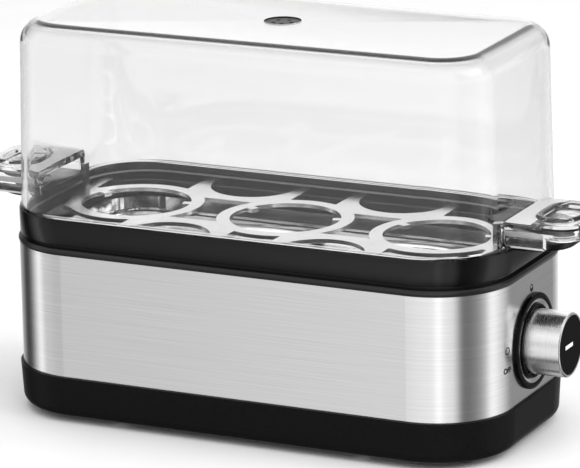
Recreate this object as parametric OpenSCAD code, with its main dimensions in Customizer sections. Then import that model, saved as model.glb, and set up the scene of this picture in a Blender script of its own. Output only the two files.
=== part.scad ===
// Electric egg cooker for three eggs, in millimetres.
// Z is up from the table, X runs along the body to the knob end, Y runs to the back.

/* [Body] */
// length of the steel body
body_len = 200; // [192:1:216]
// width of the steel body
body_wid = 97; // [94:1:106]
// plan radius of the body's corners
corner_r = 29.5; // [28:0.5:32]
// height of the steel that shows
steel_h = 47.5; // [46:0.5:60]
// thickness of the steel sheet
steel_t = 0.8; // [0.5:0.1:0.8]

/* [Base] */
// height of the rubber feet
foot_h = 2; // [1.5:0.5:4]
// height of the black base that shows
base_h = 16; // [14:0.5:22]
// how far the base stands out past the steel
base_proud = 1; // [0.5:0.1:2]
// radius of the base's lower edge
base_edge = 4; // [3:0.5:4]
// radius of a foot
foot_r = 5.5; // [4:0.5:7]

/* [Collar and bowl] */
// height of the collar's lip on top of the steel
lip_h = 2.3; // [1.5:0.1:4]
// height of the shadow gap under the tray
gap_h = 1.3; // [0.8:0.1:2.5]
// depth of the water bowl below its flange
bowl_depth = 11; // [9:0.5:12]
// thickness of the bowl's sheet
bowl_t = 0.8; // [0.5:0.1:1]
// thickness of the silicone seal
seal_t = 0.7; // [0.5:0.1:1]

/* [Egg tray and carrier] */
// height of the tray's band
tray_h = 9.9; // [9:0.1:13]
// thickness of the tray's wall
tray_wall = 2.4; // [1.8:0.1:3]
// length of a tray handle past the steel
tab_len = 18; // [15:1:20]
// width of a tray handle
tab_wid = 34; // [29:1:34]
// thickness of a tray handle
tab_t = 3.5; // [3:0.5:5.5]
// diameter of an egg hole
egg_hole = 42; // [38:1:43]
// distance between neighbouring eggs
egg_pitch = 63; // [60:1:64]
// width of the carrier's rings and arms
ring_wid = 5; // [4:0.5:5]
// thickness of the carrier's sheet
carrier_t = 1.5; // [1:0.1:2]

/* [Lid] */
// height of the clear lid
lid_h = 72; // [68:1:90]
// thickness of the lid's wall
lid_wall = 2; // [1.5:0.1:2.4]
// plan radius of the lid's corners
lid_corner = 22; // [20:0.5:22.5]
// radius of the lid's top edge
lid_edge = 8.5; // [6:0.5:10]
// length of a lid grip past the steel
grip_len = 25; // [24:1:32]
// width of a lid grip
grip_wid = 39.4; // [39:0.2:43]
// diameter of the steam vent
vent_d = 14; // [10:0.5:20]

/* [Knob] */
// diameter of the knob
knob_d = 24; // [22:0.5:27]
// length of the knob
knob_len = 13.5; // [11:0.5:20]
// diameter of the bezel round the knob
bezel_d = 36; // [34:0.5:37]
// diameter of the dial's shaft
shaft_d = 6; // [5:0.5:6]

/* [Hidden] */
$fn = 96;
// corner centres of the body
hx = body_len / 2 - corner_r;
hy = body_wid / 2 - corner_r;
// running clearance of the shaft, clearance of a screw, slip fit and gap between bodies
run = 0.06;
slip = 0.1;
gap = 0.3;
// levels from the table up
z_base = foot_h;
z_floor = z_base + 4;
z_lip = z_base + base_h;
z_seat = z_lip - 2;
z_steel = z_lip + steel_h;
z_collar = z_steel + lip_h;
z_tray = z_collar + gap_h;
z_rim = z_tray + tray_h;
z_ledge = z_tray + 4.8;
z_top = z_rim + lid_h;
z_flange = z_steel + seal_t;
z_bowl = z_flange - bowl_depth;
z_knob = z_lip + steel_h / 2 - 2.95;
// radii from the corner centres, from the outside in
r_steel_in = corner_r - steel_t;
r_base = corner_r + base_proud;
r_base_low = r_base - 0.7;
r_wall = corner_r - 2;
r_edge = r_base_low - base_edge;
r_plate = corner_r - 9.2;
r_frame = corner_r - 17.5;
r_spigot = corner_r - 1;
r_land = corner_r - 2.5;
r_pocket = corner_r - 4.9;
r_hole = corner_r - 8.7;
r_bowl = corner_r - 9.5;
r_tray = corner_r - 0.3;
r_tray_in = r_tray - tray_wall;
r_open = corner_r - 10.5;
// screw posts between base and collar
post_x = hx - 20.5;
post_y = hy + corner_r - 6.2;
post_r = 3;
tie_r = 1.5;
// screws of the bottom plate
plate_x = hx - 10;
plate_y = hy + corner_r - 13;
// feet
foot_x = hx + corner_r - 16.5;
foot_y = hy + corner_r - 19.5;
// inside pieces under the bowl
heater_t = 3;
heater_x = 50;
heater_y = 3;
heater_r = 20;
tube_r = 3.25;
tube_y = 14;
tube_x = 42;
tube_z = z_bowl - heater_t - tube_r - 0.05;
clamp_z = tube_z - tube_r - 0.05;
clamp_t = 1.5;
fuse_r = 2;
fuse_x = 24;
therm_r = 8;
therm_h = 7;
therm_x = -22;
board_x = 20;
board_len = 72;
board_wid = 44;
board_z = z_base + 6.5;
board_t = 1.6;
relay_x = board_x - 24;
relay_h = 15;
pad_x = board_x + 32;
pad_y = 6;
block_x = -50;
block_y = 18;
block_top = z_base + 13;
lead_r = 1.1;
pin_x = -tube_x - 24;
gland_x = -25;
gland_z = z_floor + 5.5;
gland_out = hy + r_base_low - 0.1;
gland_in = hy + r_wall - slip;
gland_bore = 3.4;
// dial on the end wall, seen from the middle outwards
x_end = body_len / 2;
x_in = x_end - steel_t;
switch_len = 7.7;
switch_wid = 18;
bush_r = shaft_d / 2 + 1.5;
web_t = 1.2;
washer_t = 0.5;
nut_t = 2;
x_knob = x_end + 1.7;
x_face = x_knob + knob_len;
knob_r = knob_d / 2;
bezel_r = bezel_d / 2;
core_r = knob_r - 1;
// lid outline at its rim
lx = body_len / 2 - 2.8;
ly = body_wid / 2 - 2.8;
lid_hx = lx - lid_corner;
lid_hy = ly - lid_corner;
lid_draft = 1.6;
z_shelf = z_rim + 7;
shelf_t = 2.5;
flange_t = 1.2;
cheek_t = 2.2;
cheek_x = x_end + 13;
slot_y = grip_wid / 2 - cheek_t;
tab_end = 14;
// carrier sheet: links between the rings, end tabs and their uprights
web_r = egg_pitch / 2 - 14.5;
web_y = hy + r_tray_in - 7.8;
web_in = 15;
arm_y = hy + r_tray_in - 2;
tab_x = hx + r_tray_in - 6;
finger_y = 27;
upright_wid = 3;
upright_h = 11.5;
grip_end = 9;

// carries a section, drawn as distance from the corner centre against height, round a rounded rectangle
module sweep(px, py) {
  for (k = [0, 1]) rotate([0, 0, 180 * k]) {
    translate([px, py, 0]) rotate_extrude(angle = 90) children();
    translate([-px, py, 0]) rotate([0, 0, 90]) rotate_extrude(angle = 90) children();
    translate([px, py, 0]) rotate([90, 0, 0]) linear_extrude(2 * py) children();
    translate([-px, py, 0]) rotate([90, 0, 90]) linear_extrude(2 * px) children();
  }
}

// rounded rectangle about the centre
module plan(px, py, r) {
  square([2 * px, 2 * (py + r)], center = true);
  square([2 * (px + r), 2 * py], center = true);
  for (sx = [-1, 1]) for (sy = [-1, 1]) translate([sx * px, sy * py]) circle(r);
}

// quarter disc below and outside a point of a section
module quarter(x, z, r) {
  intersection() {
    translate([x, z]) circle(r);
    translate([x, z - r]) square(r);
  }
}

// the same thing at four places, mirrored about both middle planes
module four(x, y) {
  for (sx = [-1, 1]) for (sy = [-1, 1]) translate([sx * x, sy * y, 0]) children();
}

// turned piece on the dial's axis, its section drawn as radius against distance along X
module on_dial() {
  translate([0, 0, z_knob]) rotate([90, 0, 90]) rotate_extrude() children();
}

// wire through a list of points, with a rounded bend a little thicker than the run
module wire(path) {
  for (i = [0 : len(path) - 2]) {
    step = path[i + 1] - path[i];
    turn = [0, acos(step[2] / norm(step)), atan2(step[1], step[0])];
    translate(path[i]) rotate(turn) cylinder(r = lead_r, h = norm(step), $fn = 24);
    if (i > 0) translate(path[i]) sphere(1.15 * lead_r, $fn = 24);
  }
}

// black base tub that carries the sleeve on a ledge
module base_tub() color([0.06, 0.06, 0.06]) difference() {
  union() {
    sweep(hx, hy) union() {
      polygon([[r_wall, z_floor], [r_base_low, z_base + base_edge], [r_base, z_lip], [corner_r + slip, z_lip],
        [corner_r + slip, z_seat], [r_wall, z_seat]]);
      polygon([[r_frame, z_base + 1.5], [r_plate + gap, z_base + 1.5], [r_plate + gap, z_base], [r_edge, z_base],
        [r_edge, z_base + base_edge], [r_wall, z_base + base_edge], [r_wall, z_floor], [r_frame, z_floor]]);
      quarter(r_edge, z_base + base_edge, base_edge);
    }
    four(post_x, post_y) translate([0, 0, z_floor]) cylinder(r = post_r, h = 3);
    four(plate_x, plate_y) translate([0, 0, z_floor]) cylinder(r = 3, h = 5);
  }
  four(post_x, post_y) {
    translate([0, 0, z_base - 1]) cylinder(r = tie_r + slip, h = 20);
    translate([0, 0, z_base - 1]) cylinder(r = 2.7, h = 2.8);
  }
  four(plate_x, plate_y) translate([0, 0, z_base]) cylinder(r = 1.5, h = 20);
  translate([gland_x, hy, gland_z]) rotate([-90, 0, 0]) cylinder(r = 4.3, h = 2 * corner_r);
}

// plate that closes the base from below, with slots for air and standoffs for the board
module bottom_plate() color([0.09, 0.09, 0.09]) difference() {
  union() {
    translate([0, 0, z_base]) linear_extrude(1.5) plan(hx, hy, r_plate);
    translate([board_x, 0, z_base + 1.5]) four(board_len / 2 - 4, board_wid / 2 - 4)
      cylinder(r = 3, h = board_z - z_base - 1.5);
  }
  four(plate_x, plate_y) translate([0, 0, z_base - 1]) cylinder(r = 1.5, h = 4);
  for (k = [-3 : 3]) translate([block_x - 10 + 6 * k, -28, z_base - 1]) cube([2.5, 30, 4]);
  translate([board_x, 0, z_base + 2.5]) four(board_len / 2 - 4, board_wid / 2 - 4) cylinder(r = 1.2, h = 9);
}

// four soft feet stuck under the base
module rubber_feet() color([0.12, 0.12, 0.12]) four(foot_x, foot_y) cylinder(r = foot_r, h = foot_h);

// short screws of the bottom plate
module plate_screws() color([0.6, 0.6, 0.62]) four(plate_x, plate_y) union() {
  translate([0, 0, z_base - 1.2]) cylinder(r = 2.6, h = 1.2);
  translate([0, 0, z_base - 0.2]) cylinder(r = 1.4, h = 8);
}

// long screws that pull the collar down on the sleeve
module tie_screws() color([0.6, 0.6, 0.62]) four(post_x, post_y) union() {
  translate([0, 0, z_base + 0.2]) cylinder(r = 2.5, h = 1.6);
  translate([0, 0, z_base + 1]) cylinder(r = tie_r, h = 20);
}

// brushed steel body with a hole for the dial
module steel_sleeve() color([0.72, 0.72, 0.72]) difference() {
  sweep(hx, hy) translate([r_steel_in, z_seat]) square([steel_t, z_steel - z_seat]);
  translate([x_end - 5, 0, z_knob]) rotate([0, 90, 0]) cylinder(r = bush_r + slip, h = 10);
}

// black collar on top of the sleeve, with the bowl's ledge and four screw posts
module top_collar() color([0.05, 0.05, 0.05]) difference() {
  union() {
    sweep(hx, hy) polygon([[r_hole, z_steel - 2.5], [r_spigot - 3, z_steel - 2.5], [r_spigot - 3, z_steel - 4.5],
      [r_spigot, z_steel - 4.5], [r_spigot, z_steel], [corner_r - slip, z_steel], [corner_r - slip, z_collar],
      [r_land, z_collar], [r_land, z_tray], [r_pocket, z_tray], [r_pocket, z_steel], [r_hole, z_steel]]);
    four(post_x, post_y) translate([0, 0, z_floor + 3]) cylinder(r = post_r, h = z_steel - 2 - z_floor - 3);
  }
  four(post_x, post_y) translate([0, 0, z_base]) cylinder(r = tie_r + 0.05, h = 24);
}

// silicone seal under the bowl's flange
module bowl_seal() color([0.75, 0.75, 0.72]) sweep(hx, hy)
  translate([r_hole + slip, z_steel]) square([r_pocket - r_hole - 0.3, seal_t]);

// section of a cup from its middle out to the wall
module cup(r, z, top, edge) {
  polygon([[0, z], [r - edge, z], [r - edge, z + edge], [r, z + edge], [r, top], [0, top]]);
  quarter(r - edge, z + edge, edge);
}

// drawn stainless bowl that holds the water
module heating_bowl() color([0.8, 0.8, 0.8]) {
  sweep(hx, hy) difference() {
    union() {
      cup(r_bowl, z_bowl, z_flange + bowl_t, 7);
      translate([r_bowl - 1, z_flange]) square([r_pocket - gap - r_bowl + 1, bowl_t]);
    }
    cup(r_bowl - bowl_t, z_bowl + bowl_t, z_flange + 2, 7 - bowl_t);
  }
  translate([-hx, -hy, z_bowl]) cube([2 * hx, 2 * hy, bowl_t]);
}

// aluminium plate under the bowl with the stud that holds the element
module heater_plate() color([0.7, 0.7, 0.7]) union() {
  translate([0, 0, z_bowl - heater_t]) linear_extrude(heater_t) plan(heater_x, heater_y, heater_r);
  translate([0, 0, clamp_z - 8]) cylinder(r = 2, h = z_bowl - heater_t - clamp_z + 9);
}

// tubular element bent to a U, with a pin at each end
module heating_element() color([0.35, 0.33, 0.3]) translate([0, 0, tube_z]) {
  for (s = [-1, 1]) translate([-tube_x - 12, s * tube_y, 0]) rotate([0, 90, 0]) cylinder(r = tube_r, h = 2 * tube_x + 12);
  translate([tube_x, 0, 0]) rotate([0, 0, -90]) rotate_extrude(angle = 180) translate([tube_y, 0]) circle(tube_r);
  for (s = [-1, 1]) translate([pin_x - 2, s * tube_y, 0]) rotate([0, 90, 0]) cylinder(r = 1.2, h = 16);
}

// steel strip that presses the element to its plate
module element_clamp() color([0.65, 0.65, 0.66]) difference() {
  translate([-8, -tube_y - 8, clamp_z - clamp_t]) cube([16, 2 * tube_y + 16, clamp_t]);
  translate([0, 0, clamp_z - 4]) cylinder(r = 2 + slip, h = 6);
}

// nut on the stud
module clamp_nut() color([0.6, 0.6, 0.62]) translate([0, 0, clamp_z - clamp_t - 3.2]) difference() {
  cylinder(r = 4, h = 3.2, $fn = 6);
  translate([0, 0, -1]) cylinder(r = 2.05, h = 6);
}

// bimetal thermostat against the plate
module thermostat() color([0.2, 0.17, 0.14]) translate([therm_x, 0, z_bowl - heater_t - therm_h]) union() {
  cylinder(r = therm_r, h = therm_h);
  translate([0, 0, therm_h - 1]) linear_extrude(1) plan(10, 1, 2);
}

// one-shot thermal fuse beside the thermostat
module thermal_fuse() color([0.8, 0.75, 0.6]) translate([fuse_x - 7, 0, z_bowl - heater_t - fuse_r - 0.1])
  rotate([0, 90, 0]) union() {
    cylinder(r = fuse_r, h = 14);
    translate([0, 0, -4]) cylinder(r = 0.5, h = 22, $fn = 24);
  }

// strap that holds the fuse on the plate
module fuse_clip() color([0.65, 0.65, 0.66]) translate([fuse_x - 3, 0, z_bowl - heater_t]) difference() {
  union() {
    translate([0, -8, -1]) cube([6, 16, 1]);
    translate([0, -fuse_r - 1.2, -2 * fuse_r - 1.4]) cube([6, 2 * fuse_r + 2.4, 2 * fuse_r + 1.4]);
  }
  translate([-1, -fuse_r - 0.2, -2 * fuse_r - 0.4]) cube([8, 2 * fuse_r + 0.4, 2 * fuse_r + 2]);
}

// timer and power board
module control_board() color([0.1, 0.3, 0.12]) translate([board_x, 0, board_z]) difference() {
  translate([-board_len / 2, -board_wid / 2, 0]) cube([board_len, board_wid, board_t]);
  translate([0, 0, -1]) four(board_len / 2 - 4, board_wid / 2 - 4) cylinder(r = 1.4, h = 4);
}

// screws of the board
module board_screws() color([0.6, 0.6, 0.62]) translate([board_x, 0, board_z])
  four(board_len / 2 - 4, board_wid / 2 - 4) union() {
    translate([0, 0, board_t]) cylinder(r = 2.3, h = 1.4);
    translate([0, 0, board_t - 5]) cylinder(r = 1.15, h = 5.5);
  }

// relay that switches the heater
module relay() color([0.1, 0.2, 0.45]) translate([relay_x, -8, board_z + board_t]) cube([19, 16, relay_h]);

// mains capacitor
module capacitor() color([0.75, 0.6, 0.1]) translate([board_x, -15, board_z + board_t]) cube([18, 8, 14]);

// buzzer
module buzzer() color([0.04, 0.04, 0.04]) translate([board_x + 10, 9, board_z + board_t]) difference() {
  cylinder(r = 6, h = 8);
  translate([0, 0, 6]) cylinder(r = 1.2, h = 4);
}

// block where the mains lead ends
module terminal_block() color([0.85, 0.85, 0.82]) difference() {
  translate([block_x - 13, block_y - 8, z_base + 1.5]) cube([26, 16, block_top - z_base - 1.5]);
  for (k = [-1, 1]) translate([block_x + 6 * k, block_y + 3, block_top - 3]) cylinder(r = 2, h = 5);
}

// bushing in the back wall where the mains lead comes in
module cord_gland() color([0.05, 0.05, 0.05]) translate([gland_x, 0, gland_z]) rotate([-90, 0, 0]) difference() {
  union() {
    translate([0, 0, gland_in - 3]) cylinder(r = 5.4, h = 3);
    translate([0, 0, gland_in - 1]) cylinder(r = 4.2, h = gland_out - gland_in + 1);
  }
  translate([0, 0, gland_in - 4]) cylinder(r = gland_bore, h = gland_out - gland_in + 6);
}

// lead from the block to the thermostat
module live_lead() color([0.4, 0.2, 0.1]) wire([[block_x + 6, block_y - 5, block_top], [block_x + 6, block_y - 5, tube_z - 16],
  [therm_x - 4, 0, tube_z - 12], [therm_x - 4, 0, z_bowl - heater_t - therm_h]]);

// lead from the block to one pin of the element
module neutral_lead() color([0.1, 0.2, 0.5]) wire([[block_x - 6, block_y - 5, block_top], [block_x - 6, block_y - 5, tube_z - 16],
  [pin_x, tube_y, tube_z - 10], [pin_x, tube_y, tube_z - 1.25]]);

// lead from the relay to the other pin
module switched_lead() color([0.5, 0.1, 0.1]) wire([[relay_x + 4, -4, board_z + board_t + relay_h],
  [relay_x + 4, -4, board_z + board_t + relay_h + 3], [pin_x, -tube_y, tube_z - 10], [pin_x, -tube_y, tube_z - 1.25]]);

// lead from the board to the dial
module dial_lead() color([0.7, 0.7, 0.7]) wire([[pad_x, pad_y, board_z + board_t], [pad_x, pad_y, board_z + 10],
  [x_in - 4, 0, board_z + 12], [x_in - 4, 0, z_knob - switch_wid / 2]]);

// rotary switch behind the end wall, its bush through the steel
module dial_switch() color([0.15, 0.15, 0.17]) difference() {
  union() {
    translate([x_in - switch_len, -switch_wid / 2, z_knob - switch_wid / 2]) cube([switch_len, switch_wid, switch_wid]);
    translate([x_in - 1, 0, z_knob]) rotate([0, 90, 0]) cylinder(r = bush_r, h = x_end + web_t + washer_t + nut_t - x_in + 1);
  }
  on_dial() translate([0, x_in - switch_len + 1.5]) square([6.4, 3.2]);
  on_dial() translate([0, x_in - switch_len + 1.5]) square([shaft_d / 2 + run, switch_len + 12]);
}

// washer over the bezel
module dial_washer() color([0.7, 0.7, 0.7]) on_dial()
  translate([bush_r + slip, x_end + web_t]) square([2.6, washer_t]);

// nut of the dial's bush
module dial_nut() color([0.7, 0.7, 0.7]) translate([x_end + web_t + washer_t, 0, z_knob]) rotate([0, 90, 0]) difference() {
  cylinder(r = bush_r + 2.2, h = nut_t, $fn = 6);
  translate([0, 0, -1]) cylinder(r = bush_r + 0.05, h = nut_t + 2);
}

// stepped black bezel on the end wall
module dial_bezel() color([0.04, 0.04, 0.04]) on_dial() difference() {
  union() {
    translate([bush_r + slip, x_end]) square([bezel_r - bush_r - slip, web_t]);
    translate([bezel_r - 2.7, x_end]) square([2.7, 2]);
    translate([knob_r + 0.4, x_end]) square([bezel_r - 4.2 - knob_r - 0.4, 2.4]);
  }
  translate([bezel_r - 4.2, x_end + 0.8]) square([1.5, 3]);
}

// pale ring let into the bezel
module pilot_ring() color([0.8, 0.8, 0.8]) on_dial() translate([bezel_r - 4.2, x_end + 0.8]) square([1.5, 1]);

// shaft of the dial, flat on one side where the knob grips it
module dial_shaft() color([0.75, 0.75, 0.76]) difference() {
  translate([x_in - switch_len + 2, 0, z_knob]) rotate([0, 90, 0]) cylinder(r = shaft_d / 2, h = x_face - 3 - x_in + switch_len - 2);
  translate([x_knob + 3, -shaft_d, z_knob + shaft_d / 2 - 1]) cube([knob_len, 2 * shaft_d, shaft_d]);
}

// wiper disc inside the switch
module dial_rotor() color([0.85, 0.85, 0.8]) on_dial()
  translate([shaft_d / 2, x_in - switch_len + 2]) square([6 - shaft_d / 2, 2]);

// black core of the knob, hollow over the nut
module knob_core() color([0.05, 0.05, 0.05]) difference() {
  on_dial() difference() {
    translate([0, x_knob + 1]) square([core_r, knob_len - 2]);
    translate([0, x_knob]) square([bush_r + 3, 3]);
  }
  difference() {
    translate([x_knob, 0, z_knob]) rotate([0, 90, 0]) cylinder(r = shaft_d / 2 + 0.02, h = knob_len - 2.8);
    translate([x_knob + 3, -shaft_d, z_knob + shaft_d / 2 - 0.95]) cube([knob_len, 2 * shaft_d, shaft_d]);
  }
}

// brushed metal sleeve round the knob
module knob_sleeve() color([0.75, 0.75, 0.75]) on_dial() translate([core_r, x_knob]) square([knob_r - core_r, knob_len]);

// black end face of the knob
module knob_face() color([0.03, 0.03, 0.03]) difference() {
  on_dial() translate([0, x_face - 1]) square([core_r, 0.8]);
  translate([x_face - 0.6, -5.2, z_knob - 0.75]) cube([2, 7, 1.5]);
}

// white bar that points at the setting
module knob_pointer() color([0.95, 0.95, 0.95]) translate([x_face - 0.6, -5.2, z_knob - 0.75]) cube([0.4, 7, 1.5]);

// plan of a handle that runs out along X to a rounded end
module handle_plan(from, to, wid, r) {
  intersection() {
    translate([from, -wid / 2]) square([to - from, wid]);
    union() {
      translate([from, -wid / 2]) square([to - r - from, wid]);
      translate([to - r - 1, r - wid / 2]) square([r + 1, wid - 2 * r]);
      for (s = [-1, 1]) translate([to - r, s * (wid / 2 - r)]) circle(r);
    }
  }
}

// black tray frame with a ledge for the carrier and a handle at each end
module tray_frame() color([0.05, 0.05, 0.05]) union() {
  sweep(hx, hy) polygon([[r_pocket - 2.6, z_tray - 1.6], [r_pocket - gap, z_tray - 1.6], [r_pocket - gap, z_tray],
    [r_tray, z_tray], [r_tray, z_rim], [r_tray_in, z_rim], [r_tray_in, z_ledge], [r_open, z_ledge],
    [r_open, z_ledge - 2.4], [r_pocket - 2.6, z_ledge - 2.4]]);
  for (k = [0, 1]) rotate([0, 0, 180 * k]) {
    translate([0, 0, z_rim - 1.5]) linear_extrude(tab_t)
      handle_plan(hx + r_tray_in, x_end + tab_len, tab_wid, tab_end);
  }
}

// half of the link between two rings: a curved web with an arm on each side that reaches the long wall
module carrier_link() {
  difference() {
    translate([-web_r - ring_wid, web_in]) square([2 * (web_r + ring_wid), arm_y - web_in]);
    translate([0, web_y]) circle(web_r);
    translate([-web_r, web_y]) square([2 * web_r, arm_y]);
  }
}

// stamped carrier: three rings, two links between them, and at each end a tab with a finger and an upright
module egg_carrier() color([0.85, 0.85, 0.85]) {
  ring_r = egg_hole / 2;
  translate([0, 0, z_ledge]) linear_extrude(carrier_t) union() {
    difference() {
      union() {
        for (k = [-1 : 1]) translate([k * egg_pitch, 0]) circle(ring_r + ring_wid);
        for (s = [-1, 1]) for (t = [0, 1]) translate([s * egg_pitch / 2, 0]) mirror([0, t]) carrier_link();
        for (k = [0, 1]) rotate(180 * k) polygon([[tab_x, -finger_y], [tab_x, -5],
          [tab_x - 5, 16], [egg_pitch + 12, 20], [egg_pitch + 12, -13], [tab_x - 4, -13], [tab_x - 3.5, -finger_y]]);
      }
      for (k = [-1 : 1]) translate([k * egg_pitch, 0]) circle(ring_r);
    }
    for (k = [-1 : 1]) for (a = [16, 155]) translate([k * egg_pitch, 0]) rotate(a) translate([ring_r - 1, 0])
      square([4, 3.4], center = true);
  }
  for (k = [0, 1]) rotate([0, 0, 180 * k]) translate([tab_x - carrier_t, -12, z_ledge])
    cube([carrier_t, upright_wid, upright_h]);
}

// section of the lid's outside or inside, inset by a wall
module dome(w) {
  r = lid_corner - w;
  e = lid_edge - w;
  top = z_top - w;
  polygon([[0, z_rim - 1], [r, z_rim - 1], [r, z_rim], [r - lid_draft, top - e], [r - lid_draft - e, top - e],
    [r - lid_draft - e, top], [0, top]]);
  intersection() {
    translate([r - lid_draft - e, top - e]) circle(e);
    translate([r - lid_draft - e, top - e]) square(e);
  }
}

// clear lid with a flange on the tray and a hooded grip at each end
module lid_dome() color([0.85, 0.88, 0.9, 0.4]) difference() {
  union() {
    sweep(lid_hx, lid_hy) difference() {
      dome(0);
      dome(lid_wall);
      translate([-1, z_rim - 2]) square([2 * lid_corner, 2]);
    }
    translate([-lid_hx, -lid_hy, z_top - lid_wall]) cube([2 * lid_hx, 2 * lid_hy, lid_wall]);
    translate([0, 0, z_rim]) linear_extrude(flange_t) difference() {
      plan(hx, hy, r_tray - 0.4);
      plan(lid_hx, lid_hy, lid_corner - lid_wall / 2);
    }
    for (k = [0, 1]) rotate([0, 0, 180 * k]) {
      translate([0, 0, z_shelf]) linear_extrude(shelf_t) handle_plan(lx - 1.2, x_end + grip_len, grip_wid, grip_end);
      translate([0, 0, z_shelf - 1.5]) linear_extrude(2) difference() {
        handle_plan(lx - 1.2, x_end + grip_len, grip_wid, grip_end);
        handle_plan(lx - 5, x_end + grip_len - cheek_t, grip_wid - 2 * cheek_t, grip_end - cheek_t);
      }
      for (s = [-1, 1]) translate([lx - 1, s * (grip_wid - cheek_t) / 2 - cheek_t / 2, z_rim])
        cube([cheek_x - lx + 1, cheek_t, z_shelf - z_rim + 1]);
      translate([x_end + grip_len / 2, 0, z_shelf]) linear_extrude(shelf_t + 1.2) difference() {
        plan(0.5, 5, 7.5);
        plan(0.5, 5, 6);
      }
    }
  }
  for (k = [0, 1]) rotate([0, 0, 180 * k]) {
    translate([lx - 10, -slot_y, z_rim - 1]) cube([15, 2 * slot_y, z_shelf - z_rim + 1]);
    translate([x_end + grip_len / 2, 0, z_shelf + 1.2]) linear_extrude(5) plan(0.5, 5, 6);
  }
  translate([0, 0, z_top - 10]) cylinder(r = vent_d / 2, h = 20);
}

// grey vent in the top of the lid, with holes for the steam
module steam_vent() color([0.3, 0.3, 0.3]) translate([0, 0, z_top - lid_wall]) difference() {
  cylinder(r = vent_d / 2, h = lid_wall - 0.5);
  for (k = [0 : 4]) rotate([0, 0, 72 * k]) translate([vent_d / 4, 0, -1]) cylinder(r = 0.9, h = 5, $fn = 24);
}

base_tub();
bottom_plate();
rubber_feet();
plate_screws();
tie_screws();
steel_sleeve();
top_collar();
bowl_seal();
heating_bowl();
heater_plate();
heating_element();
element_clamp();
clamp_nut();
thermostat();
thermal_fuse();
fuse_clip();
control_board();
board_screws();
relay();
capacitor();
buzzer();
terminal_block();
cord_gland();
live_lead();
neutral_lead();
switched_lead();
dial_lead();
dial_switch();
dial_washer();
dial_nut();
dial_bezel();
pilot_ring();
dial_shaft();
dial_rotor();
knob_core();
knob_sleeve();
knob_face();
knob_pointer();
tray_frame();
egg_carrier();
lid_dome();
steam_vent();
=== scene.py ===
import math
import bpy
import bmesh
from mathutils import Matrix, Vector


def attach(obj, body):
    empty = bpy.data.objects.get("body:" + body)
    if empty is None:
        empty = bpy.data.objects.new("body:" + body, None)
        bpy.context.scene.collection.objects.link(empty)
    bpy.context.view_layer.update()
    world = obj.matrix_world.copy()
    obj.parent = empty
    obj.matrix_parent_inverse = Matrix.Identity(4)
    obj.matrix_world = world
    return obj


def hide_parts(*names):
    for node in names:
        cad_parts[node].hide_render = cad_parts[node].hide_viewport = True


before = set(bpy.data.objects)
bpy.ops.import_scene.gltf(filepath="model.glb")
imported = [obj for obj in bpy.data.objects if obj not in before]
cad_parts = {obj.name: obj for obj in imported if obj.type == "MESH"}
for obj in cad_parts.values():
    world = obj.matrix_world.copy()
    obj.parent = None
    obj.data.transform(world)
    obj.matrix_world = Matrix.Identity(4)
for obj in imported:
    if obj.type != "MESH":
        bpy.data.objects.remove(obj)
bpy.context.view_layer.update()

# Camera at the photograph's viewing angle: a long lens from the front right, a little above the body,
# held with a slight roll. The shift puts the body in its place in the frame.
azimuth = math.radians(26.04)
elevation = math.radians(15.07)
roll = math.radians(-1.02)
aim = Vector((0, 0, 0.078))
distance = 1.562
focal_pixels = 4164.3
frame_pixels = 580
right = Vector((math.cos(azimuth), math.sin(azimuth), 0))
back = Vector((math.sin(azimuth) * math.cos(elevation), -math.cos(azimuth) * math.cos(elevation),
               math.sin(elevation)))
up = back.cross(right)
side = right * math.cos(roll) + up * math.sin(roll)
head = up * math.cos(roll) - right * math.sin(roll)
eye = aim + back * distance
lens = bpy.data.cameras.new("camera")
lens.sensor_width = 36
lens.lens = focal_pixels * lens.sensor_width / frame_pixels
lens.shift_x = 0.0067
lens.shift_y = -0.0404
lens.clip_end = 50
camera = bpy.data.objects.new("camera", lens)
camera.matrix_world = Matrix((
    (side.x, head.x, back.x, eye.x),
    (side.y, head.y, back.y, eye.y),
    (side.z, head.z, back.z, eye.z),
    (0, 0, 0, 1),
))
scene = bpy.context.scene
scene.collection.objects.link(camera)
scene.camera = camera
scene.view_settings.view_transform = "Standard"


# Studio surround: white walls with a dark gap on the right and another on the far left, which give the steel
# its dark streaks, and a bright band between a greyer horizon and ceiling. Overhead the walls close to an
# even white.
def grey_ramp(tree, first, last, stops):
    """A ramp from the first grey to the last, with stops at places between 0 and 1."""
    ramp = tree.nodes.new("ShaderNodeValToRGB")
    ramp.color_ramp.elements[0].color = (first, first, first, 1)
    ramp.color_ramp.elements[1].color = (last, last, last, 1)
    for place, grey in stops:
        ramp.color_ramp.elements.new(place).color = (grey, grey, grey, 1)
    return ramp


wall_greys = (
    (-148, 1.3), (-132, 0.45), (-118, 0.25), (-110, 0.05), (-97, 0.04), (-89, 0.2), (-80, 0.6), (-70, 1.15),
    (-61, 0.6), (-50, 0.6), (-35, 0.5), (-29, 0.57), (-23, 0.8), (0, 0.88), (16, 0.9), (24, 1.3), (31, 0.9),
    (45, 0.85), (57, 0.14), (68, 0.16), (82, 0.27), (94, 0.5), (104, 1.08), (113, 1), (120, 0.8), (130, 0.62),
    (142, 0.36), (150, 0.25), (160, 0.25), (170, 0.6),
)
height_greys = (
    (-0.82, 0.45), (-0.75, 0.08), (-0.55, 0.8), (-0.4, 1), (-0.1, 1), (0.1, 0.85), (0.2, 0.85), (0.3, 1.05),
    (0.55, 1.15), (0.75, 0.9), (0.88, 0.6),
)
world = bpy.data.worlds.new("studio")
world.use_nodes = True
sky = world.node_tree
join = sky.links.new
way = sky.nodes.new("ShaderNodeTexCoord")
split = sky.nodes.new("ShaderNodeSeparateXYZ")
join(way.outputs["Generated"], split.inputs["Vector"])
front = sky.nodes.new("ShaderNodeMath")
front.operation = "MULTIPLY"
front.inputs[1].default_value = -1
join(split.outputs["Y"], front.inputs[0])
turn = sky.nodes.new("ShaderNodeMath")
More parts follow.
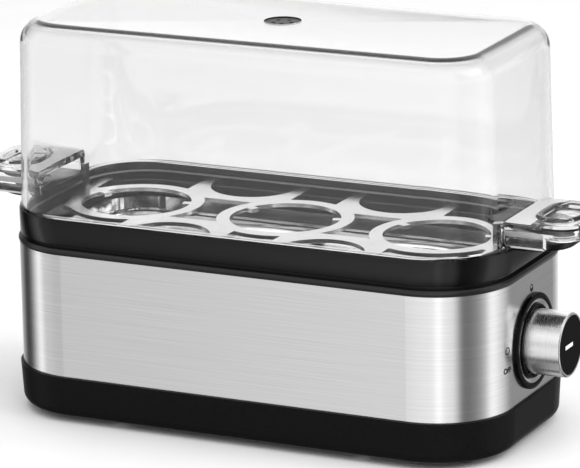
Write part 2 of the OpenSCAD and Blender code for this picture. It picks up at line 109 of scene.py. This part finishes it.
turn.operation = "ARCTAN2"
join(split.outputs["X"], turn.inputs[0])
join(front.outputs["Value"], turn.inputs[1])
round_the_room = sky.nodes.new("ShaderNodeMapRange")
round_the_room.inputs["From Min"].default_value = -math.pi
round_the_room.inputs["From Max"].default_value = math.pi
join(turn.outputs["Value"], round_the_room.inputs["Value"])
walls = grey_ramp(sky, 0.8, 0.8, [((degrees + 180) / 360, grey) for degrees, grey in wall_greys])
join(round_the_room.outputs["Result"], walls.inputs["Fac"])
height = sky.nodes.new("ShaderNodeMapRange")
height.inputs["From Min"].default_value = -1
join(split.outputs["Z"], height.inputs["Value"])
levels = grey_ramp(sky, 0.55, 0.6, [((z + 1) / 2, grey) for z, grey in height_greys])
join(height.outputs["Result"], levels.inputs["Fac"])
overhead = sky.nodes.new("ShaderNodeMapRange")
overhead.inputs["From Min"].default_value = 0.4
overhead.inputs["From Max"].default_value = 0.8
join(split.outputs["Z"], overhead.inputs["Value"])
closing = sky.nodes.new("ShaderNodeMix")
closing.data_type = "RGBA"
share, around, ceiling = closing.inputs[0], closing.inputs[6], closing.inputs[7]
ceiling.default_value = (1, 1, 1, 1)
join(overhead.outputs["Result"], share)
join(walls.outputs["Color"], around)
room = sky.nodes.new("ShaderNodeVectorMath")
room.operation = "MULTIPLY"
join(closing.outputs[2], room.inputs[0])
join(levels.outputs["Color"], room.inputs[1])
join(room.outputs["Vector"], sky.nodes["Background"].inputs["Color"])
scene.world = world

# Two soft boxes, kept out of the reflections: a large one over the table gives the even light and the soft
# shadow, and a smaller one from the right lifts the shadow there.
for name, wide, deep, power, place, tilt in (
        ("soft_box", 1.6, 1.4, 9, (0.1, -0.2, 1.3), (math.radians(8), 0, 0)),
        ("side_box", 0.8, 0.8, 5, (0.9, 0.1, 0.6), (0, math.radians(60), 0))):
    light = bpy.data.lights.new(name, "AREA")
    light.shape = "RECTANGLE"
    light.size = wide
    light.size_y = deep
    light.energy = power
    soft_box = bpy.data.objects.new(name, light)
    soft_box.location = place
    soft_box.rotation_euler = tilt
    soft_box.visible_glossy = False
    scene.collection.objects.link(soft_box)


# Floor: pale matt paper that the appliance stands on, laid wide enough to run out of every view and kept out
# of the reflections.
def surface(name, colour, roughness, metallic=0.0, specular=0.5, stretch=(1, 1, 1), scale=40.0, vary=0.06,
            bump=0.0):
    """A shader with a fine grain that varies its colour, its roughness and its height."""
    material = bpy.data.materials.new(name)
    material.use_nodes = True
    tree = material.node_tree
    shader = tree.nodes["Principled BSDF"]
    shader.inputs["Metallic"].default_value = metallic
    shader.inputs["Specular IOR Level"].default_value = specular
    where = tree.nodes.new("ShaderNodeTexCoord")
    fit = tree.nodes.new("ShaderNodeMapping")
    fit.inputs["Scale"].default_value = stretch
    grain = tree.nodes.new("ShaderNodeTexNoise")
    grain.inputs["Scale"].default_value = scale
    grain.inputs["Detail"].default_value = 4
    tone = tree.nodes.new("ShaderNodeValToRGB")
    tone.color_ramp.elements[0].color = (*[c * (1 - vary) for c in colour], 1)
    tone.color_ramp.elements[1].color = (*[min(1, c * (1 + vary)) for c in colour], 1)
    tone.color_ramp.elements[0].position = 0.3
    tone.color_ramp.elements[1].position = 0.7
    matt = tree.nodes.new("ShaderNodeMapRange")
    matt.inputs["To Min"].default_value = roughness * 0.9
    matt.inputs["To Max"].default_value = min(1, roughness * 1.1)
    tree.links.new(where.outputs["Object"], fit.inputs["Vector"])
    tree.links.new(fit.outputs["Vector"], grain.inputs["Vector"])
    tree.links.new(grain.outputs["Fac"], tone.inputs["Fac"])
    tree.links.new(tone.outputs["Color"], shader.inputs["Base Color"])
    tree.links.new(grain.outputs["Fac"], matt.inputs["Value"])
    tree.links.new(matt.outputs["Result"], shader.inputs["Roughness"])
    if bump:
        relief = tree.nodes.new("ShaderNodeBump")
        relief.inputs["Strength"].default_value = bump
        relief.inputs["Distance"].default_value = 0.0002
        tree.links.new(grain.outputs["Fac"], relief.inputs["Height"])
        tree.links.new(relief.outputs["Normal"], shader.inputs["Normal"])
    return material


def soften(piece):
    """Smooth shading that stays crisp at sharp edges."""
    piece.data.shade_smooth()
    piece.data.set_sharp_from_angle(angle=math.radians(35))


def shape(name, points, faces, material):
    """A mesh object from points in millimetres."""
    mesh = bpy.data.meshes.new(name)
    mesh.from_pydata([Vector(p) / 1000 for p in points], [], faces)
    work = bmesh.new()
    work.from_mesh(mesh)
    bmesh.ops.recalc_face_normals(work, faces=work.faces)
    work.to_mesh(mesh)
    work.free()
    mesh.materials.append(material)
    piece = bpy.data.objects.new(name, mesh)
    scene.collection.objects.link(piece)
    soften(piece)
    return piece


reach = 4000
paper = surface("floor_paper", (0.95, 0.95, 0.95), 0.9, specular=0.1, vary=0.01)
floor = shape("floor", [(-reach, -reach, 0), (reach, -reach, 0), (reach, reach, 0), (-reach, reach, 0)],
              [(0, 1, 2, 3)], paper)
floor.visible_glossy = False


# Base: a black tub moulded in plastic with a fine spark grain, closed below by a screwed plate, with the
# bushing for the cord in its back wall.
def dress(material, *names):
    """Gives CAD pieces their finish."""
    for name in names:
        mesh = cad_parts[name].data
        if not mesh.materials:
            mesh.materials.append(material)
        for i in range(len(mesh.materials)):
            mesh.materials[i] = material


dress(surface("black_plastic", (0.007, 0.007, 0.007), 0.4, specular=0.05, scale=900, vary=0.2, bump=0.04),
      "base_tub", "bottom_plate", "cord_gland")

# Feet and fixings: soft rubber feet under the base, and zinc plated screws, nuts, washer and clips. The turned
# shaft of the dial has the same plating.
dress(surface("foot_rubber", (0.02, 0.02, 0.02), 0.8, specular=0.2, scale=700, vary=0.25, bump=0.1),
      "rubber_feet")
dress(surface("zinc", (0.55, 0.56, 0.6), 0.35, metallic=1, scale=300, vary=0.12),
      "plate_screws", "tie_screws", "board_screws", "clamp_nut", "dial_nut", "dial_washer", "fuse_clip",
      "element_clamp", "dial_shaft")

# Steel sleeve: one strip of stainless sheet, brushed along the body, bent round it and held between the base
# and the top collar.
dress(surface("brushed_steel", (0.9, 0.9, 0.9), 0.2, metallic=1, stretch=(1, 1, 160), scale=18, vary=0.05,
              bump=0.06), "steel_sleeve")


# Top collar: a glossier black moulding that closes the sleeve at the top, drawn down to the base by long
# screws, with a half round lip that lies on the steel.
def skin(rings, wrap=False):
    """Points and faces over a row of rings, closed into a loop or capped at both ends."""
    n = len(rings[0])
    points = [p for ring in rings for p in ring]
    faces = []
    for i in range(len(rings) if wrap else len(rings) - 1):
        a, b = i * n, (i + 1) % len(rings) * n
        faces += [(a + j, a + (j + 1) % n, b + (j + 1) % n, b + j) for j in range(n)]
    if not wrap:
        faces += [tuple(reversed(range(n))), tuple(range(len(points) - n, len(points)))]
    return points, faces


def rounded(px, py, r, z, x=0, steps=14):
    """A rounded rectangle at one height: corner centres px, py and corner radius r."""
    ring = []
    for k, (sx, sy) in enumerate(((1, -1), (1, 1), (-1, 1), (-1, -1))):
        for i in range(steps + 1):
            a = math.radians(90 * (k - 1) + 90 * i / steps)
            ring.append((x + sx * px + r * math.cos(a), sy * py + r * math.sin(a), z))
    return ring


def settle(piece, body, slot, *stands_for):
    """Joins a piece to the body it moves with."""
    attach(piece, body)
    if stands_for:
        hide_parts(*stands_for)


body_x, body_y = 70.5, 19
collar_black = surface("collar_plastic", (0.01, 0.01, 0.01), 0.3, specular=0.5, scale=900, vary=0.2)
dress(collar_black, "top_collar")
lip = [(28.6, 65.55), (29.2, 65.6), (29.6, 65.85), (29.8, 66.3), (29.85, 66.65), (29.8, 67), (29.6, 67.45),
       (29.2, 67.7), (28.6, 67.8)]
lip_rings = [rounded(body_x, body_y, r, z) for r, z in lip]
settle(shape("collar_bead", *skin(lip_rings, wrap=True), collar_black), "base", "collar_plastic")

# Bowl and heater: a drawn and polished steel bowl sits in a silicone seal under the tray. The cast plate below
# it carries the tubular element, the thermostat and the fuse. The dial's switch has the thermostat's material.
dress(surface("polished_steel", (0.72, 0.72, 0.72), 0.1, metallic=1, stretch=(1, 1, 0.02), scale=30, vary=0.3),
      "heating_bowl")
dress(surface("silicone", (0.6, 0.6, 0.57), 0.6, scale=300, vary=0.05), "bowl_seal")
dress(surface("cast_aluminium", (0.6, 0.6, 0.6), 0.45, metallic=1, scale=400, vary=0.12, bump=0.1),
      "heater_plate")
dress(surface("element_steel", (0.25, 0.23, 0.2), 0.4, metallic=1, scale=200, vary=0.2), "heating_element")
dress(surface("phenolic", (0.05, 0.035, 0.025), 0.5, scale=400, vary=0.2), "thermostat", "dial_switch")
dress(surface("fuse_case", (0.7, 0.62, 0.45), 0.4, scale=300, vary=0.08), "thermal_fuse")

# Timer board: a green board on screws in the base, with relay, capacitor, buzzer and terminal block on it. The
# leads are single cores in coloured sleeves, and the switch's rotor is nylon as the block is.
for finish, colour, vary, node in (
        ("board_green", (0.02, 0.12, 0.03), 0.2, "control_board"),
        ("relay_case", (0.02, 0.05, 0.2), 0.1, "relay"),
        ("capacitor_case", (0.6, 0.42, 0.04), 0.1, "capacitor"),
        ("buzzer_case", (0.01, 0.01, 0.01), 0.2, "buzzer")):
    dress(surface(finish, colour, 0.4, scale=300, vary=vary), node)
dress(surface("white_nylon", (0.75, 0.75, 0.7), 0.5, scale=300, vary=0.04), "terminal_block", "dial_rotor")
for finish, colour, lead in (
        ("brown_lead", (0.12, 0.05, 0.02), "live_lead"),
        ("blue_lead", (0.02, 0.05, 0.3), "neutral_lead"),
        ("red_lead", (0.35, 0.02, 0.02), "switched_lead"),
        ("grey_lead", (0.4, 0.4, 0.4), "dial_lead")):
    dress(surface(finish, colour, 0.5, scale=300, vary=0.1), lead)

# Egg carrier: three rings and their links, stamped from one stainless sheet with a satin polish. It lies loose
# on the tray's ledge.
dress(surface("satin_steel", (0.78, 0.78, 0.78), 0.2, metallic=1, scale=60, vary=0.06), "egg_carrier")


# Egg tray: one black moulding that stands loose on the collar. It has a band with softened edges, a ledge inside
# for the carrier, a pale painted highlight on the step in its wall, and a flat handle at each end.
def handle(start, end, half, r, z, steps=14):
    """The outline of a handle at one height: straight at its root, rounded at its end."""
    middle = start + 0.55 * (end - r - start)
    ring = [(start, -half, z), (middle, -half, z)]
    for k in (-1, 1):
        for i in range(steps + 1):
            a = math.radians(45 * (k - 1) + 90 * i / steps)
            ring.append((end - r + r * math.cos(a), k * (half - r) + r * math.sin(a), z))
    return ring + [(middle, half, z), (start, half, z)]


def half_turn(points):
    """The same points at the other end of the body."""
    return [(-x, -y, z) for x, y, z in points]


band = [(22, 67.5), (24.3, 67.5), (24.3, 69.1), (28.6, 69.1), (29, 69.3), (29.2, 69.7), (29.2, 78.2), (29, 78.7),
        (28.5, 79), (27.4, 79), (27, 78.8), (26.8, 78.3), (26.5, 75.9), (26.3, 75.7), (25.6, 75.6), (25.4, 75.4),
        (25.3, 73.9), (19.5, 73.9), (19, 73.5), (19, 71.5), (22, 71.5)]
handle_edge = [(1.2, 77.3), (0.5, 77.5), (0.1, 78), (0, 78.5), (0, 79.6), (0.15, 80.2), (0.6, 80.7), (1.3, 80.9)]
handle_root, handle_end, handle_half, handle_corner = 93.6, 118, 17, 14
step_low, step_high = 0.0755, 0.0759
points, faces = skin([rounded(body_x, body_y, r, z) for r, z in band], wrap=True)
for spin in (False, True):
    more, sides = skin([handle(handle_root + i, handle_end - i, handle_half - i, handle_corner - i, z)
                        for i, z in handle_edge])
    faces += [tuple(len(points) + j for j in face) for face in sides]
    points = points + (half_turn(more) if spin else more)
tray_black = surface("tray_plastic", (0.002, 0.002, 0.002), 0.13, specular=0.42, scale=900, vary=0.2, bump=0.02)
tray = shape("tray", points, faces, tray_black)
tray.data.materials.append(surface("step_painted_highlight", (0.3, 0.3, 0.3), 0.2, scale=300, vary=0.1))
# The top of the step in the wall is painted pale grey: a painted highlight where the step would catch the light.
for face in tray.data.polygons:
    if step_low < face.center.z < step_high and abs(face.normal.z) > 0.3:
        face.material_index = 1
settle(tray, "egg_tray", "tray_plastic", "tray_frame")

# Dial bezel: a stepped ring moulded in gloss black, fixed to the end wall round the knob, with a pale metal ring
# let into its groove.
dial_height = 38.8


def turned(profile, steps=96):
    """Rings of a piece turned about the dial's axis, from radius and distance along X."""
    return [[(x, r * math.cos(2 * math.pi * k / steps), dial_height + r * math.sin(2 * math.pi * k / steps))
             for k in range(steps)] for r, x in profile]


gloss = surface("gloss_black", (0.002, 0.002, 0.002), 0.1, specular=0.08, scale=300, vary=0.2)
bezel = [(4.6, 100), (18, 100), (18, 100.9), (17.85, 101.2), (17.5, 101.35), (15.9, 101.35), (15.65, 101.25),
         (15.65, 100.15), (13.8, 100.15), (13.8, 101.2), (13.65, 101.45), (13.4, 101.5), (12.9, 101.4),
         (12.7, 101.1), (12.7, 100.3), (4.6, 100.3)]
settle(shape("bezel", *skin(turned(bezel), wrap=True), gloss), "base", "gloss_black", "dial_bezel")
pale = [(13.85, 100.2), (15.6, 100.2), (15.6, 101.2), (15.4, 101.2), (13.85, 100.45)]
bright = surface("pale_ring", (0.8, 0.8, 0.8), 0.25, metallic=1, scale=200, vary=0.05)
settle(shape("pale_ring", *skin(turned(pale), wrap=True), bright), "base", "pale_ring", "pilot_ring")

# Knob: a black moulded core in a turned metal sleeve with a bright rim, pushed on to the dial's shaft. Its face
# is recessed and black, with a white bar for a pointer.
spun = surface("turned_metal", (0.96, 0.96, 0.96), 0.27, metallic=1, stretch=(120, 1, 1), scale=20, vary=0.05,
               bump=0.008)
metal = spun.node_tree.nodes["Principled BSDF"]
metal.inputs["Anisotropic"].default_value = 0.8
metal.inputs["Anisotropic Rotation"].default_value = 0.25
lay = spun.node_tree.nodes.new("ShaderNodeTangent")
lay.direction_type = "RADIAL"
lay.axis = "X"
spun.node_tree.links.new(lay.outputs["Tangent"], metal.inputs["Tangent"])
sleeve = [(11, 100.6), (11.9, 100.6), (12.2, 100.9), (12.2, 114.3), (12.1, 114.7), (11.8, 115), (11.45, 115.15),
          (11.15, 115.05), (11, 114.8)]
settle(shape("knob_tube", *skin(turned(sleeve), wrap=True), spun), "knob", "knob_metal", "knob_sleeve")
dress(gloss, "knob_core")
dress(surface("knob_black", (0.003, 0.003, 0.003), 0.5, specular=0.05, scale=500, vary=0.2), "knob_face")
dress(surface("white_mark", (0.9, 0.9, 0.9), 0.5, scale=200, vary=0.03), "knob_pointer")

# Marks round the dial: the word OFF and three small eggs, from hollow to filled, printed in grey ink on the end
# wall. The ink follows the wall where its corners bend back.
wall_corner = 29.5
ink_proud = 0.04
egg_points = 32


def on_end_wall(y, z):
    """A point of ink on the end wall."""
    bend = max(0, abs(y) - body_y)
    return (body_x + math.sqrt(wall_corner ** 2 - bend ** 2) + ink_proud, y, z)


def egg(across, tall):
    """An egg's outline about its own middle, narrower at the top."""
    return [(across * math.cos(a) * (1 - 0.14 * math.sin(a)), tall * math.sin(a))
            for a in (2 * math.pi * k / egg_points for k in range(egg_points))]


marks = []
faces = []
for y, z, fill in ((-23.2, 41.2, 0), (-1.2, 59.2, 0.5), (23.2, 41.2, 1)):
    start = len(marks)
    inner = start + egg_points
    marks += [on_end_wall(y + u, z + v) for u, v in egg(1.4, 1.5)]
    marks += [on_end_wall(y + u, z + v) for u, v in egg(1.0, 1.1)]
    for k in range(egg_points):
        after = (k + 1) % egg_points
        faces.append((start + k, start + after, inner + after, inner + k))
    if fill:
        faces.append(tuple(inner + k for k in range(egg_points)
                           if fill == 1 or k == 0 or k >= egg_points // 2))
lettering = bpy.data.curves.new("off_word", "FONT")
lettering.body = "OFF"
lettering.size = 2.9
lettering.offset = 0.12
lettering.align_x = "CENTER"
word = bpy.data.objects.new("off_word", lettering)
word_y, word_z = -23.3, 32.8
scene.collection.objects.link(word)
flat = bpy.data.meshes.new_from_object(word.evaluated_get(bpy.context.evaluated_depsgraph_get()))
bpy.data.objects.remove(word)
faces += [tuple(len(marks) + k for k in face.vertices) for face in flat.polygons]
marks += [on_end_wall(point.co.x + word_y, point.co.y + word_z) for point in flat.vertices]
ink = surface("grey_ink", (0.02, 0.02, 0.02), 0.6, specular=0.2, scale=400, vary=0.1)
settle(shape("dial_marks", marks, faces, ink), "base", "gloss_black")

# Lid: a tall shell moulded in clear plastic, with soft corners on a thin flange that rests on the tray. It is
# open at each end over the tray's handle, under a hooded grip with a thick rounded edge, an oval finger ring
# and thin cheeks down to the tray.
clear = bpy.data.materials.new("clear_lid")
clear.use_nodes = True
plastic = clear.node_tree
join = plastic.links.new
polish = plastic.nodes["Principled BSDF"]
polish.inputs["Base Color"].default_value = (0.98, 0.98, 0.98, 1)
polish.inputs["Transmission Weight"].default_value = 1
polish.inputs["IOR"].default_value = 1.49
# A faint haze all over, a softer polish on the upper bend, and a little absorption along the depth.
where = plastic.nodes.new("ShaderNodeTexCoord")
haze = plastic.nodes.new("ShaderNodeTexNoise")
haze.inputs["Scale"].default_value = 30
join(where.outputs["Object"], haze.inputs["Vector"])
film = plastic.nodes.new("ShaderNodeMapRange")
film.inputs["To Max"].default_value = 0.03
join(haze.outputs["Fac"], film.inputs["Value"])
level = plastic.nodes.new("ShaderNodeSeparateXYZ")
join(where.outputs["Object"], level.inputs["Vector"])
near_top = plastic.nodes.new("ShaderNodeMapRange")
near_top.inputs["From Min"].default_value = 0.14
near_top.inputs["From Max"].default_value = 0.151
join(level.outputs["Z"], near_top.inputs["Value"])
bloom = grey_ramp(plastic, 0, 0, ((0.83, 0), (0.86, 0.2), (0.96, 0.2), (0.99, 0)))
join(near_top.outputs["Result"], bloom.inputs["Fac"])
softness = plastic.nodes.new("ShaderNodeMath")
join(film.outputs["Result"], softness.inputs[0])
join(bloom.outputs["Color"], softness.inputs[1])
join(softness.outputs["Value"], polish.inputs["Roughness"])
depth = plastic.nodes.new("ShaderNodeVolumeAbsorption")
depth.inputs["Color"].default_value = (0.5, 0.5, 0.5, 1)
depth.inputs["Density"].default_value = 55
join(depth.outputs["Volume"], plastic.nodes["Material Output"].inputs["Volume"])

lid_x, lid_y = 75.2, 23.7
lid_corner = 22
lid_seat = 79
flange_top = 79.6
wall_thickness = 2
draft = 1.6
draft_height = 63.5


def wall(inset, z):
    """The lid's wall at one height, drawn in towards the top."""
    return rounded(lid_x, lid_y, lid_corner - inset - draft * max(0, z - lid_seat) / draft_height, z)


def crown(inward, bend, z):
    """Rings of the bend from the wall to the flat top."""
    return [rounded(lid_x, lid_y, inward + bend * math.cos(math.radians(a)), z + bend * math.sin(math.radians(a)))
            for a in range(0, 91, 9)]


def combine(piece, tool, operation):
    """Adds a tool's body to a piece, or cuts it away."""
    step = piece.modifiers.new("combine", "BOOLEAN")
    step.operation = operation
    step.solver = "EXACT"
    step.object = tool
    mesh = bpy.data.meshes.new_from_object(piece.evaluated_get(bpy.context.evaluated_depsgraph_get()))
    piece.modifiers.clear()
    piece.data = mesh
    bpy.data.objects.remove(tool)


def placed(name, spin, points, faces):
    """A tool for one grip, at the right end or turned round to the left one."""
    return shape(name, half_turn(points) if spin else points, faces, clear)


# The shell: down the inside, round the flange and up the outside.
inside = crown(12.8, 5.6, 143.4)[::-1]
inside += [wall(wall_thickness, z) for z in (130, 110, 90, 79.4)] + [rounded(lid_x, lid_y, 20.4, lid_seat)]
flange = [rounded(body_x, body_y, r, z)
          for r, z in ((28.7, lid_seat), (28.8, 79.15), (28.8, 79.45), (28.7, flange_top))]
flange.append(rounded(lid_x, lid_y, lid_corner, flange_top))
outside = [wall(0, z) for z in (80.9, 90, 110, 130)] + crown(11.9, 8.5, 142.5)
lid = shape("lid", *skin(inside + flange + outside), clear)

# The grips, with the opening under each, and the hole for the vent.
notch_height = 76
grip_root, grip_end, grip_half, grip_corner = 96, 125, 19.7, 9
shelf_edge = [(1.2, 85.9), (0.5, 86.2), (0.2, 86.8), (0.3, 87.6), (0.9, 88.2), (1.8, 88.5)]
rim_inner_end, rim_inner_half, rim_inner_corner = 121.4, 16.1, 5.4
rim_height, rim_rise = 85.4, 3
circle = [(math.cos(t * math.pi / 8), math.sin(t * math.pi / 8)) for t in range(16)]
ring_x, ring_half_x, ring_half_y = 112.5, 0.5, 5
finger_ring = [(8.3, 88.2), (8.1, 88.9), (7.5, 89.5), (6.75, 89.7), (6, 89.5), (5.4, 88.9), (5.2, 88.2)]
finger_dish = [(4.6, 87.2), (5.3, 88), (5.3, 90)]
cheek_x, cheek_y, cheek_height = 104.7, 18.6, 82.6
cheek_edge = [(0.9, -1.1), (0, -0.5), (0, 0.5), (0.9, 1.1)]
for spin in (False, True):
    notch = [[(x, y, z + notch_height) for y, z, x in rounded(14.5, 7, 3, x)] for x in (87, 103)]
    combine(lid, placed("notch", spin, *skin(notch)), "DIFFERENCE")
    points, faces = skin([handle(grip_root, grip_end - i, grip_half - i, grip_corner - i, z)
                          for i, z in shelf_edge])
    n = len(points) // len(shelf_edge)
    top = [len(points) - n + k for k in range(n)]
    faces[-1:] = [(top[0], top[1], top[-2], top[-1]), tuple(top[1:-1])]
    combine(lid, placed("shelf", spin, points, faces), "UNION")
    outer_line = map(Vector, handle(grip_root, grip_end, grip_half, grip_corner, 0))
    inner_line = map(Vector, handle(grip_root, rim_inner_end, rim_inner_half, rim_inner_corner, 0))
    rim = [[((1 + c) / 2 * o.x + (1 - c) / 2 * i.x, (1 + c) / 2 * o.y + (1 - c) / 2 * i.y,
             rim_height + rim_rise * s) for c, s in circle] for o, i in zip(outer_line, inner_line)]
    combine(lid, placed("rim", spin, *skin(rim)), "UNION")
    ring = [rounded(ring_half_x, ring_half_y, r, z, ring_x) for r, z in finger_ring]
    combine(lid, placed("ring", spin, *skin(ring, wrap=True)), "UNION")
    dish = [rounded(ring_half_x, ring_half_y, r, z, ring_x) for r, z in finger_dish]
    combine(lid, placed("pocket", spin, *skin(dish)), "DIFFERENCE")
    for y in (-cheek_y, cheek_y):
        cheek = [[(u + cheek_x, y + t, v + cheek_height) for u, v, _ in rounded(7.3 - i, 2.6 - i, 1, 0)]
                 for i, t in cheek_edge]
        combine(lid, placed("cheek", spin, *skin(cheek)), "UNION")
vent_bore = 7
bore = [[(vent_bore * math.cos(a * math.pi / 24), vent_bore * math.sin(a * math.pi / 24), z) for a in range(48)]
        for z in (147, 153)]
combine(lid, shape("vent_hole", *skin(bore), clear), "DIFFERENCE")
soften(lid)

# Faces in pale matt white: the flat at each grip's root, left matt by the mould, and a painted highlight
# on the rims of the cheeks and the grips' sides.
frosted_and_highlight = surface("frosted_clear_and_painted_highlight", (0.85, 0.85, 0.85), 0.3, scale=300, vary=0.02)
frosted_and_highlight.node_tree.nodes["Principled BSDF"].inputs["Transmission Weight"].default_value = 0.12
lid.data.materials.append(frosted_and_highlight)
for face in lid.data.polygons:
    x, y, z = abs(face.center.x), abs(face.center.y), face.center.z
    across = abs(face.normal.y)
    root = face.normal.z > 0.9 and 0.095 < x < 0.1055 and 0.088 < z < 0.089
    # The cheek rims and grip sides take the pale white as a painted highlight.
    cheek_rim = 0.0191 < y < 0.0197 and x > 0.097 and z < 0.0852 and 0.2 < across < 0.9
    grip_side = y > 0.0188 and 0.097 < x < 0.113 and 0.0832 < z < 0.0855 and across > 0.6
    if root or cheek_rim or grip_side:
        face.material_index = 1
settle(lid, "lid", "clear_lid", "lid_dome")

# Steam vent: a small plug moulded in dark grey plastic, pressed into the hole in the lid's top, where it lets
# the steam out.
dress(surface("grey_vent", (0.035, 0.035, 0.035), 0.5, scale=200, vary=0.1), "steam_vent")
